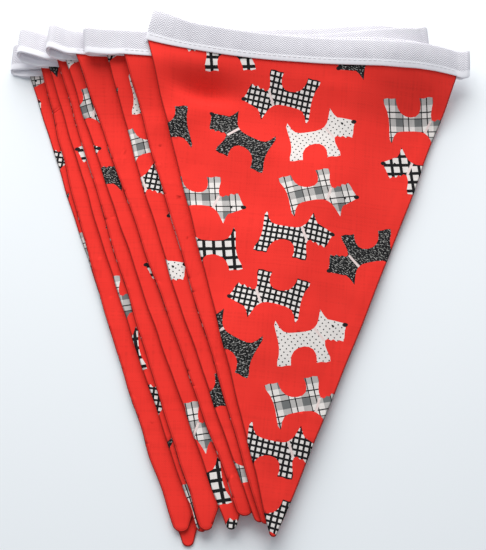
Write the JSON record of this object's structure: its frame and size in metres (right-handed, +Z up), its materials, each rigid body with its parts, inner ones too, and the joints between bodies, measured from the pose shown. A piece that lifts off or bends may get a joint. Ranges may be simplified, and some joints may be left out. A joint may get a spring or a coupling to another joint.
{
  "type": "fabric bunting",
  "caption": "Triangular red cotton flags on a folded white herringbone tape, laid back and forth in a fanned pile.",
  "frame": {"origin": "middle of the bounding box, on the surface that the folded pile lies on", "axes": "+Z up from the surface, +Y from the flags' tips towards the tape, +X along the tape to the right of someone looking at the tips from above with the tape at the top"},
  "size_m": [0.2612, 0.281, 0.0297],
  "materials": {
    "flag_cotton": "plain-weave printed cotton, matt",
    "tape_cotton": "white cotton herringbone tape, matt"
  },
  "bodies": {
    "root": {"flag_1": "flag_cotton", "flag_2": "flag_cotton", "flag_3": "flag_cotton", "flag_4": "flag_cotton", "flag_5": "flag_cotton", "flag_6": "flag_cotton", "flag_7": "flag_cotton", "flag_8": "flag_cotton", "flag_9": "flag_cotton", "tape": "tape_cotton"}
  },
  "joints": []
}
